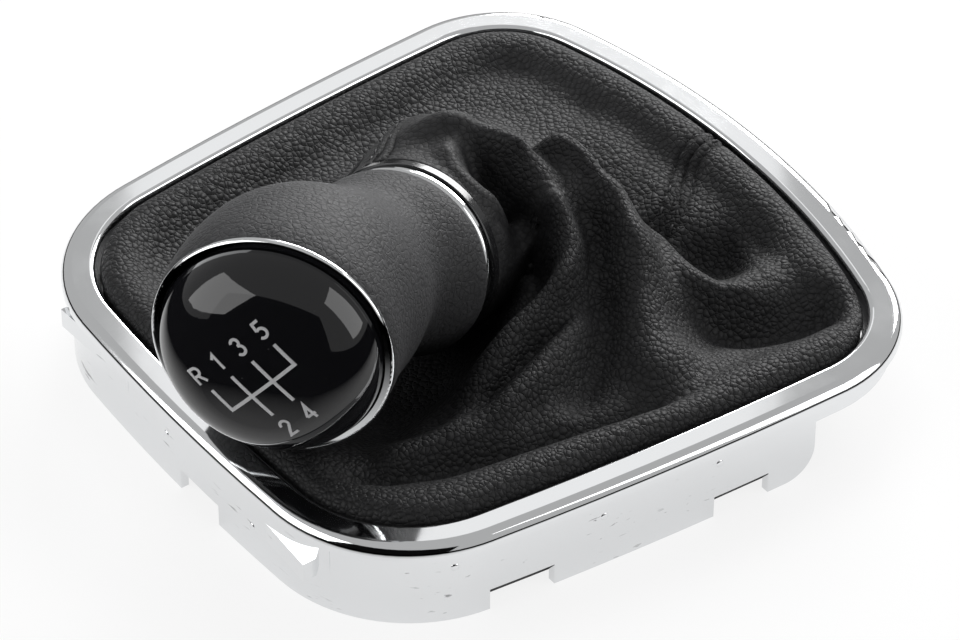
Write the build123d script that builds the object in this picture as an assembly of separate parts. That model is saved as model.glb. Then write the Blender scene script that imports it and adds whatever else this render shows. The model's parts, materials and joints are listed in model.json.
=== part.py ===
"""Gear shift knob with its leather gaiter in a chrome console frame, lying as a loose part does on a table.

The knob has flopped over towards the frame's narrow end. Origin at the middle of the frame, on the plane
of the skirt's feet. +X points to the frame's wide, bowed end and +Z up. Millimetres and degrees.
"""

import os
from math import atan2, cos, exp, hypot, pi, radians, sin, sqrt

from build123d import *

# Frame outline in plan: a rounded trapezium with bowed sides
FRAME_LENGTH = 132.2
NARROW_HALF_WIDTH = 62.9
WIDE_HALF_WIDTH = 74.2
SIDE_BOW = 2.55
NARROW_BOW = 3.7
WIDE_BOW = 15.2
NARROW_CORNER_R = 35.0
WIDE_CORNER_R = 28.8

# Bezel section
SKIRT_DEPTH = 20.0
RIM_WIDTH = 7.2
RIM_CROWN = 1.7
RIM_LIP = 1.6
RIM_OUTER_ROUND = 2.4
RIM_INNER_ROUND = 1.2
LEDGE_INSET = 0.9
LEDGE_DROP = 1.1
SKIRT_INSET = 1.8
SKIRT_WALL = 1.8

# Bezel skirt: notches, the cut-back at the wide end and the two snap lugs
NOTCH_HEIGHT = 5.2
SIDE_NOTCHES = ((-38.0, -23.5), (14.0, 27.3))
END_NOTCH = (-13.7, -0.2)
SKIRT_END_X = 38.8
SKIRT_END_ROUND = 7.0
SHORT_SKIRT = 6.5
LUG_START_Y = 30.0
LUG_END_Y = 44.0
LUG_REACH = 3.0
LUG_TOP_DROP = 3.0
LUG_HEIGHT = 4.6

# Gaiter frame: the black inner frame that the leather's hem is glued into
FRAME_CLEARANCE = 0.3
GAITER_FRAME_WALL = 2.0
GAITER_FRAME_FOOT = 2.2
GAITER_FRAME_END_X = SKIRT_END_X - 2.0
GAITER_FRAME_FLANGE = 4.0
FLANGE_INNER_INSET = 8.1

# Leather gaiter
LEATHER = 1.2
LEATHER_GAP = 0.3
HEM_DEPTH = 11.0
LIP_RISE = 0.8
ROLL_INSET = 11.6
ROLL_RISE = 2.6
ROLL_WIDTH = 8.0
ROLL_SHOULDER_DROP = 0.8
ROLL_FOOT_DROP = 0.5
SLACK = 5.0
TOP_SLACK_GAIN = 1.2
SLEEVE_TOP = 22.0
SLEEVE_BOTTOM = 10.0
SLEEVE_DIP = 12.0
SLEEVE_DIP_AZIMUTH = 6.0
SLEEVE_DIP_POWER = 8
SLEEVE_FLARE = 2.5
SLEEVE_MID_FLARE = 0.8
STATIONS = 80
MIDDLE_ROWS = 12

# Where the knob lies: the middle of its neck, the way its stem points, and its turn about the stem
NECK = (-12.1, -0.1, 13.5)
LEAN_AZIMUTH = 207.8
LEAN_RISE = 15.6
KNOB_TWIST = 49.3

# Knob
STEM_LENGTH = 53.7
HEAD_SLANT = 14.6
NECK_RING_R = 19.4
NECK_RING_HEIGHT = 2.6
NECK_RING_ROUND = 1.0
CAP_RING_R = 24.6
CAP_RING_WIDTH = 1.7
CAP_RING_HEIGHT = 1.6
CAP_RING_ROUND = 0.7
CAP_CLEARANCE = 0.2
CAP_CROWN_R = 90.0
CAP_KNUCKLE_R = 12.5
CORE_R = 14.0
CORE_CLEARANCE = 0.1
LEVER_BORE_R = 6.0
LEVER_BORE_DEPTH = 56.0
SLEEVE_WALL = 2.5
SLEEVE_LENGTH = 22.0

# Grip: height share along the stem, radius and forward offset of each section, inside the two rings
GRIP_STEP = 0.4
GRIP_SECTIONS = (
    (0.00, NECK_RING_R - GRIP_STEP, 0.0),
    (0.12, 19.9, 0.9),
    (0.30, 18.8, 3.8),
    (0.50, 22.3, 5.9),
    (0.70, 24.4, 6.2),
    (0.88, 24.8, 4.8),
    (1.00, CAP_RING_R - GRIP_STEP, 2.9),
)

# Gaiter collar and lever clamp
COLLAR_STEP = 0.4
COLLAR_FLANGE = 2.0
COLLAR_BARREL_WALL = 2.0
COLLAR_BARREL_LENGTH = 4.5
COLLAR_CLEARANCE = 0.2
CLAMP_BAND = 0.8
CLAMP_WIDTH = 7.0
CLAMP_SETBACK = 2.0
CLAMP_EAR = (5.0, 2.4)

# Printed shift pattern, on the cap, measured from the cap's middle: right and forward
GATE_X = (-9.0, -3.0, 3.1, 9.3)
GATE_Y = -2.3
GATE_REACH = 5.6
LABEL_REACH = 9.5
LABEL_HEIGHT = 3.6
LABEL_MIDDLE = 0.29
PRINT_WIDTH = 0.75
LABEL_WIDTH = 0.6
PRINT_THICKNESS = 0.12

# Folds of the leather, hand-set: points in plan with their height above the rim's edge, the fold's
# half-width, and how firmly the leather follows it
FOLDS = (
    (((30, -8, 16), (20, -25, 11), (5, -32, 7), (-15, -34, 4)), 14.0, 0.60),
    (
        ((22, 8, 30), (30, -2, 25), (31, -14, 21), (27, -25, 17), (22, -37, 11), (19, -46, 7), (20, -56, 3)),
        6.5,
        0.95,
    ),
    (
        ((-1, 17, 31), (6, 14, 33), (12, 9, 33), (17, 1, 32), (18, -5, 30), (17, -13, 27), (14, -21, 21),
         (5, -25, 13), (-10, -27, 7), (-28, -29, 3)),
        4.2,
        0.95,
    ),
    (((6, -31, 10), (-7, -36, 7), (-21, -38, 5), (-35, -37, 3), (-46, -33, 2)), 6.0, 0.80),
    (
        ((6, 8, 25), (8, 4, 19), (9, -1, 12), (11, -5, 8), (11, -10, 6), (9, -15, 5), (3, -19, 3), (-7, -22, 0)),
        4.5,
        0.95,
    ),
    (((28, -2, 21), (27, -12, 15), (19, -27, 9), (8, -36, 4), (-6, -43, 1), (-24, -45, -1)), 4.0, 0.80),
    (((31, 15, 8), (39, 5, 2), (41, -6, -1), (40, -14, -2)), 6.0, 0.85),
    (((46, -15, -6), (50, -22, -10), (57, -26, -8)), 7.0, 0.90),
    (((38, -17, 9), (37, -28, 7), (43, -38, 6), (57, -36, 5)), 4.2, 0.95),
    (((63, -54, -4), (50, -49, -8), (40, -44, -8), (31, -39, -3)), 5.5, 0.90),
)

# How a fold works: steps between its points, the share of its length over which it dies out at each
# end and what is left of it there, the power of its cross-section, and the leather's upward slope at
# which it starts to follow and over which it comes to follow in full
FOLD_STEPS = 8
FOLD_FADE = 0.15
FOLD_END_SHARE = 0.3
FOLD_POWER = 1.8
FOLD_SLOPE_START = -0.1
FOLD_SLOPE_SPAN = 0.5

# Which rows the folds leave alone at the frame and at the neck, and how the folds are evened out
ROLL_ROWS = 4
SLEEVE_ROWS = 2
EASE_PASSES = 1
EASE = 0.5

# Levels and places that follow from the sizes above
RIM_EDGE_Z = SKIRT_DEPTH
RIM_UNDERSIDE_Z = RIM_EDGE_Z - RIM_LIP
RIM_TOP_Z = RIM_EDGE_Z + RIM_CROWN
HEM_INSET = FLANGE_INNER_INSET + LEATHER_GAP + LEATHER / 2
SLEEVE_R = LEVER_BORE_R + SLEEVE_WALL
COLLAR_FLANGE_R = NECK_RING_R + COLLAR_STEP
FAR = 2 * (FRAME_LENGTH + WIDE_HALF_WIDTH)

azimuth = radians(LEAN_AZIMUTH)
rise = radians(LEAN_RISE)
twist = radians(KNOB_TWIST)
slant = radians(HEAD_SLANT)
neck_centre = Vector(NECK[0], NECK[1], NECK[2] + RIM_EDGE_Z)
stem = Vector(cos(azimuth) * cos(rise), sin(azimuth) * cos(rise), sin(rise))
neck_top = Vector(-cos(azimuth) * sin(rise), -sin(azimuth) * sin(rise), cos(rise))
neck_side = stem.cross(neck_top)
forward = neck_top * cos(twist) + neck_side * sin(twist)
knob_plane = Plane(origin=neck_centre, x_dir=forward, z_dir=stem)

# The head plane, in the knob's own axes: slanted back, over the grip's last section
head_plane = Plane(
    origin=(GRIP_SECTIONS[-1][2], 0, STEM_LENGTH),
    x_dir=(cos(slant), 0, sin(slant)),
    z_dir=(-sin(slant), 0, cos(slant)),
)


def outline(inset):
    """The frame's plan outline moved inwards by inset."""
    half = FRAME_LENGTH / 2
    corners = (
        (-half, -NARROW_HALF_WIDTH),
        (half, -WIDE_HALF_WIDTH),
        (half, WIDE_HALF_WIDTH),
        (-half, NARROW_HALF_WIDTH),
    )
    bows = (SIDE_BOW, WIDE_BOW, SIDE_BOW, NARROW_BOW)
    sides = [SagittaArc(corners[i], corners[(i + 1) % 4], -bows[i]) for i in range(4)]
    face = make_face(sides)
    face = fillet(face.vertices().sort_by(Axis.X)[2:], WIDE_CORNER_R)
    narrow = [v for v in face.vertices() if hypot(v.X + half, abs(v.Y) - NARROW_HALF_WIDTH) < 1e-3]
    face = fillet(narrow, NARROW_CORNER_R)
    arcs = []
    for edge in face.edges():
        points = [edge.position_at(share) for share in (0, 0.5, 1)]
        inwards = [(edge.arc_center - point).normalized() for point in points]
        arcs.append(ThreePointArc(*[p + inward * inset for p, inward in zip(points, inwards)]))
    return make_face(arcs)


def band(outer_inset, inner_inset, low, high):
    """A ring that follows the outline between two insets and two heights."""
    return Pos(0, 0, low) * extrude(outline(outer_inset) - outline(inner_inset), high - low)


def block(low, high):
    """A box between two corners."""
    size = [b - a for a, b in zip(low, high)]
    middle = [(a + b) / 2 for a, b in zip(low, high)]
    return Pos(*middle) * Box(*size)


def skirt_wall_x(y):
    """Where the skirt's outer face stands at the narrow end, at a given y."""
    across = Edge.make_line((-FAR, y, 0), (0, y, 0))
    chords = across.intersect(outline(SKIRT_INSET).faces()[0])
    return min(chord.bounding_box().min.X for chord in chords)


def snap_lug(sign):
    """A wedge on the narrow end that grows towards the corner and snaps under the console's edge."""
    start_x = skirt_wall_x(LUG_START_Y)
    end_x = skirt_wall_x(LUG_END_Y)
    plan = Polygon(
        (start_x + SKIRT_WALL / 2, sign * LUG_START_Y),
        (end_x + SKIRT_WALL / 2, sign * LUG_END_Y),
        (end_x - LUG_REACH, sign * LUG_END_Y),
        (start_x, sign * LUG_START_Y),
        align=None,
    )
    top = RIM_EDGE_Z - LUG_TOP_DROP
    return Pos(0, 0, top - LUG_HEIGHT) * extrude(plan, LUG_HEIGHT)


def skirt_cuts():
    """Everything cut out of the skirt: notches in its foot and the cut-back round the wide end."""
    cuts = []
    for start, end in SIDE_NOTCHES:
        cuts.append(block((start, -FAR, -1), (end, FAR, NOTCH_HEIGHT)))
    cuts.append(block((-FAR, END_NOTCH[0], -1), (0, END_NOTCH[1], NOTCH_HEIGHT)))
    cuts.append(block((SKIRT_END_X, -FAR, -1), (FAR, FAR, RIM_EDGE_Z - SHORT_SKIRT)))
    corner = SKIRT_END_X - SKIRT_END_ROUND
    rounding = block((corner, -FAR, -1), (SKIRT_END_X, FAR, SKIRT_END_ROUND))
    rounding -= Pos(corner, 0, SKIRT_END_ROUND) * Rot(90, 0, 0) * Cylinder(SKIRT_END_ROUND, 3 * FAR)
    cuts.append(rounding)
    return cuts


def make_bezel():
    """The chrome-plated frame: rounded rim, thin ledge, notched skirt and snap lugs, moulded in one."""
    rim = band(0, RIM_WIDTH, RIM_UNDERSIDE_Z, RIM_TOP_Z)
    top = rim.faces().sort_by(Axis.Z)[-1]
    rim = fillet(top.outer_wire().edges(), RIM_OUTER_ROUND)
    top = rim.faces().sort_by(Axis.Z)[-1]
    rim = fillet(top.inner_wires()[0].edges(), RIM_INNER_ROUND)
    skirt_inner = SKIRT_INSET + SKIRT_WALL
    skirt = band(SKIRT_INSET, skirt_inner, 0, RIM_UNDERSIDE_Z)
    for cut in skirt_cuts():
        skirt -= cut
    ledge = band(LEDGE_INSET, skirt_inner, RIM_UNDERSIDE_Z - LEDGE_DROP, RIM_UNDERSIDE_Z)
    return rim + ledge + skirt + snap_lug(1) + snap_lug(-1)


def make_gaiter_frame():
    """The inner frame under the rim: a wall behind the deep skirt and a flange for the leather's hem."""
    outer = SKIRT_INSET + SKIRT_WALL + FRAME_CLEARANCE
    wall = band(outer, outer + GAITER_FRAME_WALL, GAITER_FRAME_FOOT, RIM_UNDERSIDE_Z)
    flange_low = RIM_UNDERSIDE_Z - GAITER_FRAME_FLANGE
    wall -= block((GAITER_FRAME_END_X, -FAR, -1), (FAR, FAR, flange_low))
    return wall + band(outer, FLANGE_INNER_INSET, flange_low, RIM_UNDERSIDE_Z)


def gaiter_row(edge_point, inward):
    """One strip of leather, from its hem at the frame to its end at the knob's neck, before the folds."""
    turn = atan2(edge_point.Y - neck_centre.Y, edge_point.X - neck_centre.X) - azimuth
    height = -cos(turn)
    radial = neck_top * height - neck_side * sin(turn)
    neck_radius = COLLAR_FLANGE_R - LEATHER / 2
    butt = -NECK_RING_HEIGHT / 2 - COLLAR_FLANGE - LEATHER_GAP
    neck_end = neck_centre + radial * neck_radius + stem * butt
    sleeve = (SLEEVE_TOP + SLEEVE_BOTTOM) / 2 + (SLEEVE_TOP - SLEEVE_BOTTOM) / 2 * height
    dip = max(cos(turn + azimuth - radians(SLEEVE_DIP_AZIMUTH)), 0)
    sleeve -= SLEEVE_DIP * dip**SLEEVE_DIP_POWER
    sleeve_end = neck_end - stem * sleeve + radial * SLEEVE_FLARE

    def at(inset, z):
        return Vector(edge_point.X + inward.X * inset, edge_point.Y + inward.Y * inset, z)

    crest = RIM_EDGE_Z + ROLL_RISE
    foot = at(ROLL_INSET + ROLL_WIDTH, RIM_EDGE_Z - ROLL_FOOT_DROP)
    row = [
        at(HEM_INSET, RIM_UNDERSIDE_Z - HEM_DEPTH),
        at(HEM_INSET, RIM_UNDERSIDE_Z),
        at(HEM_INSET, RIM_EDGE_Z + LIP_RISE),
        at(ROLL_INSET, crest),
        at(ROLL_INSET + ROLL_WIDTH / 2, crest - ROLL_SHOULDER_DROP),
        foot,
    ]
    slack = SLACK * (1 + TOP_SLACK_GAIN * max(height, 0))
    for i in range(1, MIDDLE_ROWS + 1):
        share = i / (MIDDLE_ROWS + 1)
        row.append(foot + (sleeve_end - foot) * share - Vector(0, 0, slack * sin(pi * share)))
    row.append(sleeve_end)
    row.append(neck_end - stem * (sleeve / 2) + radial * SLEEVE_MID_FLARE)
    row.append(neck_end)
    return row


def grid_normals(grid):
    """Outward normals of a closed band of strips, from the neighbours of each point."""
    count = len(grid)
    last = len(grid[0]) - 1
    normals = []
    for i in range(count):
        line = []
        for j in range(last + 1):
            around = grid[(i + 1) % count][j] - grid[i - 1][j]
            along = grid[i][min(j + 1, last)] - grid[i][max(j - 1, 0)]
            line.append(around.cross(along).normalized())
        normals.append(line)
    return normals


def fold_line(points):
    """Points along a fold, on a smooth curve through the hand-set ones."""
    curve = Edge.make_spline([Vector(*p) for p in points])
    count = FOLD_STEPS * (len(points) - 1)
    return [curve.position_at(i / count) for i in range(count + 1)]


def fold_leather(grid):
    """Draws the leather up or down to each fold in turn, on the side of it that faces up.

    The rows of the hem, the lip and the roll's crest and those of the sleeve stay as they are.
    """
    normals = grid_normals(grid)
    for points, width, firmness in FOLDS:
        line = fold_line(points)
        last = len(line) - 1
        for strip, strip_normals in zip(grid, normals):
            for j in range(ROLL_ROWS, len(strip) - SLEEVE_ROWS):
                point = strip[j]
                gaps = [hypot(point.X - p.X, point.Y - p.Y) for p in line]
                nearest = min(range(len(line)), key=gaps.__getitem__)
                fade = min(min(nearest, last - nearest) / last / FOLD_FADE, 1)
                fade = FOLD_END_SHARE + (1 - FOLD_END_SHARE) * fade * fade * (3 - 2 * fade)
                facing = min(max((strip_normals[j].Z - FOLD_SLOPE_START) / FOLD_SLOPE_SPAN, 0), 1)
                pull = firmness * fade * facing * exp(-((gaps[nearest] / width) ** FOLD_POWER))
                target = RIM_EDGE_Z + line[nearest].Z
                strip[j] = point + Vector(0, 0, (target - point.Z) * pull)
    return grid


def ease_leather(grid):
    """Evens out the folded rows, so that the leather bends and doesn't crease."""
    for _ in range(EASE_PASSES):
        before = [list(strip) for strip in grid]
        for i, strip in enumerate(grid):
            left = before[i - 1]
            right = before[(i + 1) % len(grid)]
            for j in range(ROLL_ROWS, len(strip) - SLEEVE_ROWS):
                middle = (left[j] + right[j] + before[i][j - 1] + before[i][j + 1]) / 4
                strip[j] = before[i][j] + (middle - before[i][j]) * EASE
    return grid


def leather_loops(grid, side):
    """Closed curves round the gaiter, half the leather's thickness to one side of its middle.

    The two end loops stay flat, so that each end of the leather is cut square.
    """
    normals = grid_normals(grid)
    last = len(grid[0]) - 1
    end_axes = {0: Vector(0, 0, 1), last: stem}
    loops = []
    for j in range(last + 1):
        points = []
        for strip, line in zip(grid, normals):
            normal = line[j]
            if j in end_axes:
                axis = end_axes[j]
                normal = (normal - axis * normal.dot(axis)).normalized()
            points.append(strip[j] + normal * (side * LEATHER / 2))
        loops.append(points)
    return loops


def flat_halves(a, b, c, d):
    """A four-sided patch of leather as two flat triangles, parted along its shorter diagonal."""
    if (a - c).length < (b - d).length:
        halves = ((a, b, c), (a, c, d))
    else:
        halves = ((a, b, d), (b, c, d))
    return [Face(Wire.make_polygon(half, close=True)) for half in halves]


def leather_skin(grid, side):
    """One face of the leather in flat triangles, with the outlines of its two ends.

    Flat triangles keep a folded sheet light: curved patches would be cut into many times more.
    """
    loops = leather_loops(grid, side)
    triangles = []
    for low, high in zip(loops, loops[1:]):
        for i in range(STATIONS):
            triangles += flat_halves(low[i - 1], low[i], high[i], high[i - 1])
    ends = [Wire.make_polygon(loop, close=True) for loop in (loops[0], loops[-1])]
    return triangles, ends


def make_gaiter():
    """The leather: a folded sleeve from the frame to the knob's neck, open at both ends."""
    edge = outline(0).faces()[0].outer_wire()
    grid = []
    for i in range(STATIONS):
        point = edge.position_at(i / STATIONS)
        tangent = edge.tangent_at(i / STATIONS)
        inward = Vector(-tangent.Y, tangent.X, 0)
        if inward.X * point.X + inward.Y * point.Y > 0:
            inward = inward * -1
        grid.append(gaiter_row(point, inward))
    if grid[1][0].cross(grid[0][0]).Z > 0:
        grid.reverse()
    grid = ease_leather(fold_leather(grid))
    outside, outer_ends = leather_skin(grid, 1)
    inside, inner_ends = leather_skin(grid, -1)
    ends = [Face(outer, [inner]) for outer, inner in zip(outer_ends, inner_ends)]
    return Solid(Shell(outside + inside + ends))


def knob_ring(outer_r, inner_r, low, high):
    """A plain ring about the stem, in the knob's own axes."""
    height = high - low
    middle = Pos(0, 0, (low + high) / 2)
    return middle * (Cylinder(outer_r, height) - Cylinder(inner_r, 2 * height))


def make_neck_ring():
    """The chrome ring at the foot of the grip."""
    half = NECK_RING_HEIGHT / 2
    ring = knob_ring(NECK_RING_R, CORE_R + CORE_CLEARANCE, -half, half)
    rims = ring.edges().filter_by(GeomType.CIRCLE).group_by(SortBy.RADIUS)[-1]
    return fillet(rims, NECK_RING_ROUND)


def head_band(radius, low, high):
    """A disc on the slanted head plane."""
    return head_plane * Pos(0, 0, (low + high) / 2) * Cylinder(radius, high - low)


def make_grip():
    """The soft grained grip, lofted from the neck to the slanted head, bored out for the core."""
    foot = NECK_RING_HEIGHT / 2
    sections = []
    for share, radius, offset_x in GRIP_SECTIONS:
        z = foot + (STEM_LENGTH - foot) * share
        tilt = slant * share
        across = (cos(tilt), 0, sin(tilt))
        plane = Plane(origin=(offset_x, 0, z), x_dir=across, z_dir=(-sin(tilt), 0, cos(tilt)))
        sections.append(plane * Circle(radius))
    body = loft(sections)
    return body - Pos(0, 0, STEM_LENGTH) * Cylinder(CORE_R + CORE_CLEARANCE, 4 * STEM_LENGTH)


def make_core():
    """The rigid insert: a plug inside the grip, and a sleeve below with the lever's blind bore."""
    foot = -NECK_RING_HEIGHT / 2
    upright = (Align.CENTER, Align.CENTER, Align.MIN)
    plug = Pos(0, 0, foot) * Cylinder(CORE_R, 2 * STEM_LENGTH, align=upright)
    plug -= head_band(FAR, 0, 2 * STEM_LENGTH)
    low = foot - SLEEVE_LENGTH
    sleeve = knob_ring(SLEEVE_R, LEVER_BORE_R, low, foot)
    bore = Pos(0, 0, low) * Cylinder(LEVER_BORE_R, LEVER_BORE_DEPTH, align=upright)
    return plug + sleeve - bore


def make_cap_ring():
    """The chrome ring round the cap, on the head plane."""
    ring = Cylinder(CAP_RING_R, CAP_RING_HEIGHT) - Cylinder(CAP_RING_R - CAP_RING_WIDTH, 2 * CAP_RING_HEIGHT)
    ring = head_plane * Pos(0, 0, CAP_RING_HEIGHT / 2) * ring
    rims = ring.edges().filter_by(GeomType.CIRCLE).group_by(SortBy.RADIUS)[-1]
    return fillet(rims, CAP_RING_ROUND)


def cap_profile():
    """Half-section of the cap: flat foot, rounded shoulder and a nearly flat crown."""
    radius = CAP_RING_R - CAP_RING_WIDTH - CAP_CLEARANCE
    shoulder_x = radius - CAP_KNUCKLE_R
    reach = CAP_CROWN_R - CAP_KNUCKLE_R
    crown_drop = sqrt(reach * reach - shoulder_x * shoulder_x)
    top = CAP_CROWN_R - crown_drop
    meet_x = shoulder_x * CAP_CROWN_R / reach
    meet_z = CAP_CROWN_R * crown_drop / reach - crown_drop
    diagonal = CAP_KNUCKLE_R / sqrt(2)
    crown_mid = meet_x / 2
    crown_mid_z = sqrt(CAP_CROWN_R**2 - crown_mid**2) - crown_drop
    return radius, (shoulder_x + diagonal, diagonal), (meet_x, meet_z), (crown_mid, crown_mid_z), top


def make_cap(grow=0.0):
    """The gloss cap on the head plane, moved out by grow over its crown."""
    radius, shoulder, meet, crown_mid, top = cap_profile()
    lines = [
        Line((0, 0), (radius, 0)),
        ThreePointArc((radius, 0), shoulder, meet),
        ThreePointArc(meet, crown_mid, (0, top)),
        Line((0, top), (0, 0)),
    ]
    section = make_face(Plane.XZ * Curve(lines))
    return head_plane * Pos(0, 0, grow) * revolve(section, Axis.Z)


def label_strokes():
    """The strokes of R and 1 to 5 in a unit box, as lines and arcs through three points."""
    return {
        "R": (
            Polyline((0.3, 1.0), (0.0, 1.0), (0.0, 0.0)),
            ThreePointArc((0.3, 1.0), (0.55, 0.75), (0.3, 0.5)),
            Line((0.3, 0.5), (0.0, 0.5)),
            Line((0.28, 0.5), (0.58, 0.0)),
        ),
        "1": (Polyline((0.1, 0.78), (0.34, 1.0), (0.34, 0.0)),),
        "2": (
            ThreePointArc((0.03, 0.72), (0.32, 1.0), (0.54, 0.66)),
            Polyline((0.54, 0.66), (0.0, 0.0), (0.58, 0.0)),
        ),
        "3": (
            ThreePointArc((0.04, 0.84), (0.47, 0.86), (0.26, 0.54)),
            ThreePointArc((0.26, 0.54), (0.5, 0.14), (0.02, 0.16)),
        ),
        "4": (
            Polyline((0.44, 0.0), (0.44, 1.0), (0.0, 0.3)),
            Line((0.0, 0.3), (0.6, 0.3)),
        ),
        "5": (
            Polyline((0.52, 1.0), (0.12, 1.0), (0.07, 0.52)),
            ThreePointArc((0.07, 0.52), (0.54, 0.32), (0.02, 0.12)),
        ),
    }


def make_shift_pattern():
    """The printed gate and its labels, a thin skin that follows the cap's crown."""
    columns = dict(zip(("R", "1", "3", "5"), GATE_X))
    columns.update({"2": GATE_X[1], "4": GATE_X[2]})
    lines = [Line((GATE_X[0], GATE_Y), (GATE_X[-1], GATE_Y))]
    for x, low in zip(GATE_X, (0, 1, 1, 0)):
        lines.append(Line((x, GATE_Y - low * GATE_REACH), (x, GATE_Y + GATE_REACH)))
    flat = trace(Curve(lines), PRINT_WIDTH)
    for name, strokes in label_strokes().items():
        side = -1 if name in "24" else 1
        x = columns[name] - LABEL_MIDDLE * LABEL_HEIGHT
        corner = Pos(x, GATE_Y + side * LABEL_REACH - LABEL_HEIGHT / 2)
        for stroke in strokes:
            flat += corner * trace(scale(stroke, LABEL_HEIGHT), LABEL_WIDTH)
    turned = Rot(0, 0, -90) * flat
    print_column = head_plane * extrude(turned, CAP_CROWN_R)
    return print_column & (make_cap(PRINT_THICKNESS) - make_cap())


def make_collar():
    """The black collar under the neck ring that carries the leather's neck."""
    high = -NECK_RING_HEIGHT / 2
    low = high - COLLAR_FLANGE
    inner = SLEEVE_R + COLLAR_CLEARANCE
    plate = knob_ring(COLLAR_FLANGE_R, inner, low, high)
    barrel_r = COLLAR_FLANGE_R - LEATHER - LEATHER_GAP
    return plate + knob_ring(barrel_r, barrel_r - COLLAR_BARREL_WALL, low - COLLAR_BARREL_LENGTH, low)


def make_clamp():
    """The one-ear band clamp that squeezes the sleeve onto the lever."""
    low = -NECK_RING_HEIGHT / 2 - SLEEVE_LENGTH + CLAMP_SETBACK
    ring = knob_ring(SLEEVE_R + CLAMP_BAND, SLEEVE_R, low, low + CLAMP_WIDTH)
    width, reach = CLAMP_EAR
    start = SLEEVE_R + CLAMP_BAND / 2
    return ring + block((start, -width / 2, low), (start + reach, width / 2, low + CLAMP_WIDTH))


def main():
    """Builds every piece and writes it to its own file."""
    os.makedirs("parts", exist_ok=True)
    frame_pieces = {
        "bezel": make_bezel(),
        "gaiter_frame": make_gaiter_frame(),
        "gaiter": make_gaiter(),
    }
    knob_pieces = {
        "knob_grip": make_grip(),
        "knob_core": make_core(),
        "neck_ring": make_neck_ring(),
        "cap_ring": make_cap_ring(),
        "cap": make_cap(),
        "shift_pattern": make_shift_pattern(),
        "gaiter_collar": make_collar(),
        "lever_clamp": make_clamp(),
    }
    for name, shape in frame_pieces.items():
        export_step(shape, f"parts/{name}.step")
    for name, shape in knob_pieces.items():
        export_step(knob_plane * shape, f"parts/{name}.step")


main()
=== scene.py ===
"""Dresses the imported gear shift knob: leather gaiter, sewing, chrome, grip, gloss cap and stage.

Laid out as an add-on and run as a script. Lengths in the code are millimetres until a mesh is made,
and every mesh is in metres in the row frame.
"""

import json
import math

import bpy
import numpy as np
from bpy.props import FloatProperty, FloatVectorProperty, IntProperty, PointerProperty
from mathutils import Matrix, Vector


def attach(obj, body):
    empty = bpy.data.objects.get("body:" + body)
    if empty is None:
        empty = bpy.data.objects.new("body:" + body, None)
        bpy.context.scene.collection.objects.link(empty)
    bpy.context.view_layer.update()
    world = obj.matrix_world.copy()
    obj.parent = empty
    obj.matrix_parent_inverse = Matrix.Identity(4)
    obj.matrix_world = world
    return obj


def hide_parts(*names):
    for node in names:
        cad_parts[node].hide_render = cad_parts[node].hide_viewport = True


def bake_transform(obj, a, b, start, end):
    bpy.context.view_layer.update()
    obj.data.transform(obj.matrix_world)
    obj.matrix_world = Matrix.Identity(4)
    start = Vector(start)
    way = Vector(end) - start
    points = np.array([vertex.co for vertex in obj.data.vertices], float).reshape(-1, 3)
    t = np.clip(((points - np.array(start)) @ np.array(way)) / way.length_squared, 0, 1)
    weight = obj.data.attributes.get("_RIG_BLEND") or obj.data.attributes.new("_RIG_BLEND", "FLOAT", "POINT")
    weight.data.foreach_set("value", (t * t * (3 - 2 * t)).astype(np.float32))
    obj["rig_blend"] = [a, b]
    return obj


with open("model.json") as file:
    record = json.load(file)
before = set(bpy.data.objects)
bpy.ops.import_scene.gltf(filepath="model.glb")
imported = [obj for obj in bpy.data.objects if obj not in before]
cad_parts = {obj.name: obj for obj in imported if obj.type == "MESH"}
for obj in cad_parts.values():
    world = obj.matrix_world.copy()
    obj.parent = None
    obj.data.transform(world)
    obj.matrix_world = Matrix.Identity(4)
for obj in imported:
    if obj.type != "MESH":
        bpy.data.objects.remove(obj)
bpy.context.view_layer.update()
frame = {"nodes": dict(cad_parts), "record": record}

bl_info = {
    "name": "Gear Shift Knob Dressing",
    "version": (1, 0, 0),
    "blender": (4, 5, 0),
    "location": "View3D > Sidebar > Gear Knob",
    "description": "Gives the gear shift knob its leather, chrome, grip and studio",
    "category": "Object",
}

MM = 0.001
UP = np.array([0.0, 0.0, 1.0])

# Frame outline in plan and the levels of the rim, as in the part's source
FRAME_LENGTH = 132.2
NARROW_HALF_WIDTH = 62.9
WIDE_HALF_WIDTH = 74.2
SIDE_BOW = 2.55
NARROW_BOW = 3.7
WIDE_BOW = 15.2
NARROW_CORNER_R = 35.0
WIDE_CORNER_R = 28.8
RIM_EDGE_Z = 20.0
RIM_UNDERSIDE_Z = 18.4
SKIRT_INSET = 1.8
ARC_STEPS = 160

# Leather rows, as in the part's source
LEATHER = 1.2
HEM_INSET = 9.0
HEM_DEPTH = 11.0
LIP_RISE = 0.8
ROLL_INSET = 11.6
ROLL_WIDTH = 8.0
ROLL_SHOULDER_DROP = 0.8
ROLL_FOOT_DROP = 0.5
TOP_SLACK_GAIN = 1.2
SLEEVE_TOP = 22.0
SLEEVE_BOTTOM = 10.0
SLEEVE_DIP = 12.0
SLEEVE_DIP_AZIMUTH = 6.0
SLEEVE_DIP_POWER = 8
SLEEVE_FLARE = 2.5
SLEEVE_MID_FLARE = 0.8
MIDDLE_ROWS = 10
COLLAR_R = 19.8
NECK_BUTT = 3.6
LEVER_SLEEVE = 23.3

# Places in the list of rows: the roll's foot and, counted from the neck, the sleeve's end
FOOT_KNOT = 6
SLEEVE_KNOT = -3

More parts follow.
